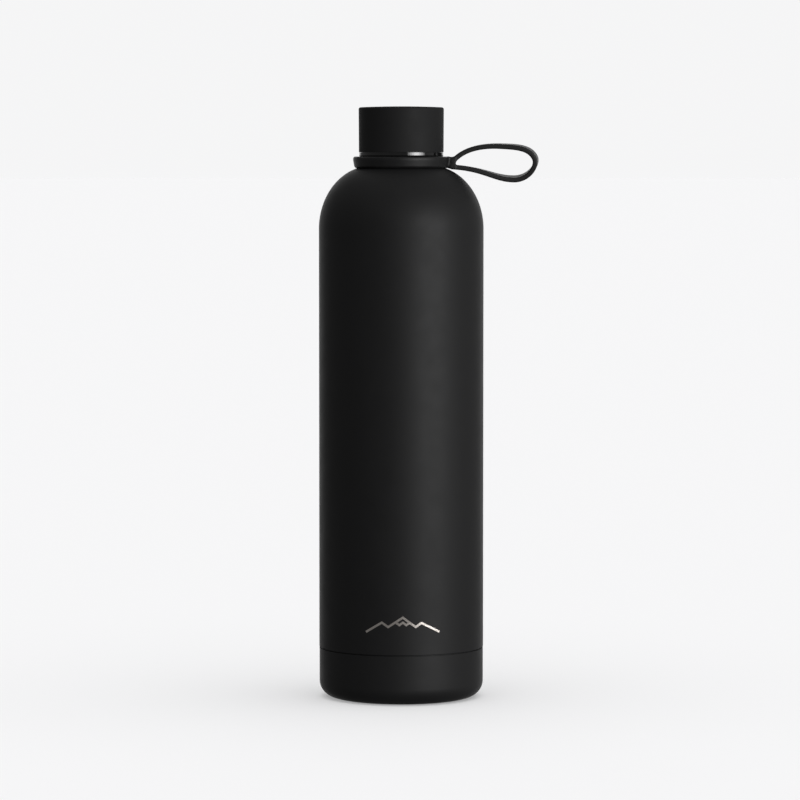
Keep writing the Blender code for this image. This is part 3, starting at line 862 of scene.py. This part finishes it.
def strap_distance(points, section, line, tree):
    """Signed distance from the strap's moulded shape: ring, lug and band, melted into one."""
    radius = np.hypot(points[:, 0], points[:, 1])
    ring = polygon_distance(np.stack((radius, points[:, 2]), axis=1), section)
    lug_middle = ((LUG_START + LUG_END) / 2, 0.0, (LUG_TOP + LUG_BOTTOM) / 2)
    lug_halves = ((LUG_END - LUG_START) / 2, LUG_HALF_WIDTH, (LUG_TOP - LUG_BOTTOM) / 2)
    lug = block_distance(points - np.array(lug_middle), lug_halves, LUG_EDGE)
    aside = line_distance(points[:, [0, 2]], line, tree)
    across = np.stack((aside, points[:, 1]), axis=1)
    band = block_distance(across, (LOOP_BAND / 2, LOOP_WIDTH / 2), LOOP_EDGE)
    return melted(melted(ring, lug, LUG_BLEND), band, BAND_BLEND)


def strap_blank(section, line):
    """Rough ring, lug and band as overlapping bars, before they are melted into one."""
    turns = np.linspace(0, 2 * math.pi, BLANK_SEGMENTS + 1)
    ring = [[(r * math.cos(a), r * math.sin(a), z) for r, z in section] for a in turns]
    wide = LUG_HALF_WIDTH
    square = ((-wide, LUG_BOTTOM), (wide, LUG_BOTTOM), (wide, LUG_TOP), (-wide, LUG_TOP))
    lug = [[(x, y, z) for y, z in square] for x in (LUG_START, LUG_END)]
    outer = parallel(line, -LOOP_BAND / 2)
    inner = parallel(line, LOOP_BAND / 2)
    half = LOOP_WIDTH / 2
    # Every fourth point of the band's middle line is enough for a rough bar.
    band = [
        [(a[0], -half, a[1]), (a[0], half, a[1]), (b[0], half, b[1]), (b[0], -half, b[1])]
        for a, b in zip(outer[::4] + outer[-1:], inner[::4] + inner[-1:])
    ]
    vertices, faces = [], []
    for bar in (ring, lug, band):
        points, sides = loft(bar)
        faces += [tuple(i + len(vertices) for i in side) for side in sides]
        vertices += points
    return vertices, faces


def twist_loop(points, line):
    """The loop's slight roll and skew, growing from root to tip, with more roll low down."""
    share = smooth((points[:, 0] - LUG_END) / (line[:, 0].max() - LUG_END))
    y, z = points[:, 1], points[:, 2] - LOOP_PIVOT_HEIGHT
    height = (points[:, 2] - line[:, 1].min()) / (line[:, 1].max() - line[:, 1].min())
    twist = LOOP_TWIST_LOWER + (LOOP_TWIST_UPPER - LOOP_TWIST_LOWER) * smooth(height)
    roll = np.radians(twist) * share
    return np.stack(
        (
            points[:, 0] + LOOP_SHEAR * y * share,
            y * np.cos(roll) - z * np.sin(roll),
            LOOP_PIVOT_HEIGHT + y * np.sin(roll) + z * np.cos(roll),
        ),
        axis=1,
    )


def make_strap(rubber):
    """Ring and carrying loop as the one moulding that they are."""
    section, line = ring_section(), loop_line()
    blank = finished_mesh("strap", *strap_blank(section, line))
    # The remesh makes one skin of the overlapping bars, and its points then move onto the true shape.
    remesh = blank.modifiers.new("Melt", "REMESH")
    remesh.mode = "VOXEL"
    remesh.voxel_size = STRAP_VOXEL * MM
    graph = bpy.context.evaluated_depsgraph_get()
    mesh = bpy.data.meshes.new_from_object(blank.evaluated_get(graph))
    blank.modifiers.clear()
    blank.data = mesh
    tree = KDTree(len(line))
    for i, (x, z) in enumerate(line):
        tree.insert((x, z, 0.0), i)
    tree.balance()
    points = np.zeros(len(mesh.vertices) * 3, np.float32)
    normals = np.zeros(len(mesh.vertices) * 3, np.float32)
    mesh.vertices.foreach_get("co", points)
    points = points.reshape(-1, 3).astype(float) / MM
    for _ in range(STRAP_FIT_STEPS):
        mesh.vertices.foreach_get("normal", normals)
        points -= strap_distance(points, section, line, tree)[:, None] * normals.reshape(-1, 3)
        mesh.vertices.foreach_set("co", (points * MM).astype(np.float32).ravel())
        mesh.update()
    points = twist_loop(points, line)
    mesh.vertices.foreach_set("co", (points * MM).astype(np.float32).ravel())
    mesh.update()
    mesh.materials.clear()
    mesh.materials.append(rubber)
    mesh.shade_smooth()
    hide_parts("strap_ring", "strap_loop")
    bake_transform(blank)


# Etched mark --------------------------------------------------------------------------------------


def stroke(line):
    """A thin strip of even width along the line, wrapped on the body."""
    left, right = parallel(line, -MARK_STROKE / 2), parallel(line, MARK_STROKE / 2)
    sections = []
    for i in range(len(line) - 1):
        length = math.dist(line[i], line[i + 1])
        steps = math.ceil(length / MARK_STEP)
        last = i == len(line) - 2
        for k in range(steps + 1 if last else steps):
            share = k / steps
            sections.append([side[i] + (side[i + 1] - side[i]) * share for side in (left, right)])
    low, high = BODY_RADIUS - MARK_SINK, BODY_RADIUS + MARK_HEIGHT
    wrapped = []
    for (xa, za), (xb, zb) in sections:
        corners = []
        for radius, x, z in ((low, xa, za), (high, xa, za), (high, xb, zb), (low, xb, zb)):
            angle = (x + MARK_MIDDLE) / BODY_RADIUS
            corners.append((radius * math.sin(angle), -radius * math.cos(angle), MARK_BOTTOM + z))
        wrapped.append(corners)
    return loft(wrapped)


def make_mark(metal):
    """The two lines of the mark, as bare metal standing barely proud of the coat."""
    vertices, faces = [], []
    for line in (RIDGE_LINE, SNOW_LINE):
        points, sides = stroke(line)
        faces += [tuple(i + len(vertices) for i in side) for side in sides]
        vertices += points
    mark = finished_mesh("etched_mark", vertices, faces, materials=(metal,))
    mark.data.shade_flat()
    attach(mark, "bottle")


# Studio -------------------------------------------------------------------------------------------

CAMERA_PLACE = (-0.00063, -1.9824, 0.2725)
CAMERA_PITCH = -3.503
CAMERA_LENS = 175.8
FLOOR_REACH = 60.0
FLOOR_SIDES = 128
FLOOR_WHITE = (0.55, 0.55, 0.555)
# The floor's own light, as of a lit sheet, which keeps its shadows pale
FLOOR_GLOW = (0.32, 0.32, 0.322)
BACKDROP = (0.916, 0.916, 0.921)
AMBIENT = 0.28
# The studio darkens below the horizon: heights of a direction where that starts and ends, and the
# share of light that is left
UNDERSIDE = (-0.15, -0.6, 0.6)
# Glows of the studio round the bottle: direction, cosines where one starts and is full, strength
GLOWS = (
    ((0.0, 1.0, 0.0), 0.75, 0.99, 1.5),
    ((0.966, 0.259, 0.0), 0.5, 0.98, 0.27),
    ((0.0, 0.0, 1.0), 0.3, 0.98, 0.35),
)
SUN_POWER = 2.12
SUN_ANGLE = 90.0
SUN_ELEVATION = 81.0
SUN_AZIMUTH = 40.0
SUN_DISTANCE = 2.0
# The softbox: sheets of one height, each wider than the one before it and a little behind it, so
# that its light fades sideways
KEY_POWER = 27.5
KEY_HEIGHT = 0.5
KEY_WIDTHS = (0.4, 0.8, 1.2, 1.6)
KEY_SPACING = 0.01
KEY_DISTANCE = 1.8
KEY_AZIMUTH = 42.0
KEY_ELEVATION = 6.0
KEY_TARGET = 0.15


def make_camera():
    """A long lens from the front, a little above the bottle and tipped down to it."""
    data = bpy.data.cameras.new("camera")
    data.sensor_width = 36.0
    data.lens = CAMERA_LENS
    data.clip_end = 200.0
    camera = bpy.data.objects.new("camera", data)
    camera.location = CAMERA_PLACE
    camera.rotation_euler = (math.radians(90 + CAMERA_PITCH), 0.0, 0.0)
    bpy.context.scene.collection.objects.link(camera)
    bpy.context.scene.camera = camera


def make_floor():
    """White floor that only the camera sees, as if flags kept its light off the bottle."""
    glow = {"Emission_Color": (*FLOOR_GLOW, 1.0), "Emission_Strength": 1.0}
    paper = Recipe("lit_sheet", FLOOR_WHITE, 1.0, Specular_IOR_Level=0.0, **glow)
    tooth = paper.grain(0.8, detail=2.0)
    paper.finish(height=tooth, depth=0.01, strength=0.2)
    turns = np.arange(FLOOR_SIDES) * (2 * math.pi / FLOOR_SIDES)
    rim = [(FLOOR_REACH * math.cos(a), FLOOR_REACH * math.sin(a), 0.0) for a in turns]
    mesh = bpy.data.meshes.new("floor")
    mesh.from_pydata(rim, [], [tuple(range(len(rim)))])
    mesh.materials.append(paper.material)
    floor = bpy.data.objects.new("floor", mesh)
    stage = bpy.data.collections.new("stage")
    bpy.context.scene.collection.children.link(stage)
    stage.objects.link(floor)
    floor.visible_glossy = False
    floor.visible_diffuse = False
    floor.visible_shadow = False
    return stage


def make_world():
    """Pale backdrop for the camera; round the bottle, a dark studio with a few large soft glows."""
    world = bpy.data.worlds.new("studio")
    bpy.context.scene.world = world
    world.use_nodes = True
    tree = world.node_tree
    output = tree.nodes["World Output"]
    backdrop = tree.nodes["Background"]
    backdrop.inputs["Color"].default_value = (*BACKDROP, 1.0)
    studio = tree.nodes.new("ShaderNodeBackground")
    direction = tree.nodes.new("ShaderNodeTexCoord").outputs["Generated"]
    total = None
    for axis, start, full, strength in GLOWS:
        facing = tree.nodes.new("ShaderNodeVectorMath")
        facing.operation = "DOT_PRODUCT"
        facing.inputs[1].default_value = axis
        tree.links.new(direction, facing.inputs[0])
        glow = tree.nodes.new("ShaderNodeMapRange")
        glow.interpolation_type = "SMOOTHSTEP"
        glow.inputs["From Min"].default_value = start
        glow.inputs["From Max"].default_value = full
        glow.inputs["To Max"].default_value = strength
        tree.links.new(facing.outputs["Value"], glow.inputs["Value"])
        added = tree.nodes.new("ShaderNodeMath")
        # The first glow is added to the ambient light, and each later one to the sum so far.
        added.inputs[1].default_value = AMBIENT
        if total is not None:
            tree.links.new(total, added.inputs[1])
        tree.links.new(glow.outputs["Result"], added.inputs[0])
        total = added.outputs[0]
    dim_start, dim_end, dim_rest = UNDERSIDE
    parts = tree.nodes.new("ShaderNodeSeparateXYZ")
    tree.links.new(direction, parts.inputs["Vector"])
    share_left = tree.nodes.new("ShaderNodeMapRange")
    share_left.interpolation_type = "SMOOTHSTEP"
    share_left.inputs["From Min"].default_value = dim_end
    share_left.inputs["From Max"].default_value = dim_start
    share_left.inputs["To Min"].default_value = dim_rest
    tree.links.new(parts.outputs["Z"], share_left.inputs["Value"])
    dimmed = tree.nodes.new("ShaderNodeMath")
    dimmed.operation = "MULTIPLY"
    tree.links.new(total, dimmed.inputs[0])
    tree.links.new(share_left.outputs["Result"], dimmed.inputs[1])
    tree.links.new(dimmed.outputs[0], studio.inputs["Strength"])
    seen = tree.nodes.new("ShaderNodeLightPath").outputs["Is Camera Ray"]
    pick = tree.nodes.new("ShaderNodeMixShader")
    tree.links.new(seen, pick.inputs[0])
    tree.links.new(studio.outputs[0], pick.inputs[1])
    tree.links.new(backdrop.outputs[0], pick.inputs[2])
    tree.links.new(pick.outputs[0], output.inputs["Surface"])


def aim(obj, azimuth, elevation, distance, target):
    """Places a light round the target and facing it, with azimuth 0 in front and 90 on +X."""
    a, e = math.radians(azimuth), math.radians(elevation)
    away = Vector((math.sin(a) * math.cos(e), -math.cos(a) * math.cos(e), math.sin(e)))
    obj.location = Vector(target) + away * distance
    obj.rotation_euler = away.to_track_quat("Z", "Y").to_euler()
    bpy.context.scene.collection.objects.link(obj)


def make_lights(stage):
    """A soft overhead light for the floor alone, and a softbox for the bottle alone."""
    sun = bpy.data.lights.new("overhead", "SUN")
    sun.energy = SUN_POWER
    sun.angle = math.radians(SUN_ANGLE)
    overhead = bpy.data.objects.new("overhead", sun)
    aim(overhead, SUN_AZIMUTH, SUN_ELEVATION, SUN_DISTANCE, (0, 0, 0))
    overhead.light_linking.receiver_collection = stage
    # An excluded stage leaves everything else lit.
    all_but_stage = bpy.data.collections.new("all_but_stage")
    all_but_stage.children.link(stage)
    all_but_stage.collection_children[0].light_linking.link_state = "EXCLUDE"
    for i, width in enumerate(KEY_WIDTHS):
        softbox = bpy.data.lights.new(f"softbox_{i}", "AREA")
        softbox.shape = "RECTANGLE"
        softbox.size, softbox.size_y = width, KEY_HEIGHT
        softbox.energy = KEY_POWER * width / sum(KEY_WIDTHS)
        key = bpy.data.objects.new(softbox.name, softbox)
        key.visible_camera = False
        key.light_linking.receiver_collection = all_but_stage
        distance = KEY_DISTANCE + KEY_SPACING * i
        aim(key, KEY_AZIMUTH, KEY_ELEVATION, distance, (0, 0, KEY_TARGET))


# Everything ---------------------------------------------------------------------------------------


def dress_inner_nodes(finishes):
    """Gives the CAD nodes that stay their own finishes."""
    for name, material in finishes.items():
        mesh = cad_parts[name].data
        mesh.materials.clear()
        mesh.materials.append(material)


coat = powder_coat("powder_coat", 0.53, 0.61)
lid_coat = powder_coat("lid_powder_coat", 0.66, 0.76)
bright_steel = steel("flask_steel", (0.60, 0.60, 0.59), 0.26, 0.14, 0.004)
rubber = silicone(
    "strap_silicone",
    dark=(0.004, 0.004, 0.0042),
    light=(0.007, 0.007, 0.0073),
    low=0.46,
    high=0.56,
    grain=0.3,
    specular=0.27,
)
seal_rubber = silicone(
    "gasket_silicone",
    dark=(0.60, 0.60, 0.58),
    light=(0.70, 0.70, 0.68),
    low=0.4,
    high=0.5,
    grain=0.4,
)
sheet_metal = pressed_steel()

make_outer_shell(coat, bright_steel)
make_base_cup(coat)
make_inner_flask(bright_steel)
make_flask_floor(bright_steel)
make_lid_cap(lid_coat)
make_lid_core(gloss_black())
make_gasket(seal_rubber)
make_strap(rubber)
make_mark(etched_steel())
dress_inner_nodes(
    {
        "vacuum_base": sheet_metal,
        "vacuum_seal": solder_glass(),
        "getter_holder": sheet_metal,
        "getter_pellet": getter_alloy(),
        "reflector_foil": foil(),
        "base_adhesive": adhesive(),
        "lid_insulation": foam(),
    }
)

make_camera()
make_world()
make_lights(make_floor())
bpy.context.scene.view_settings.view_transform = "Standard"
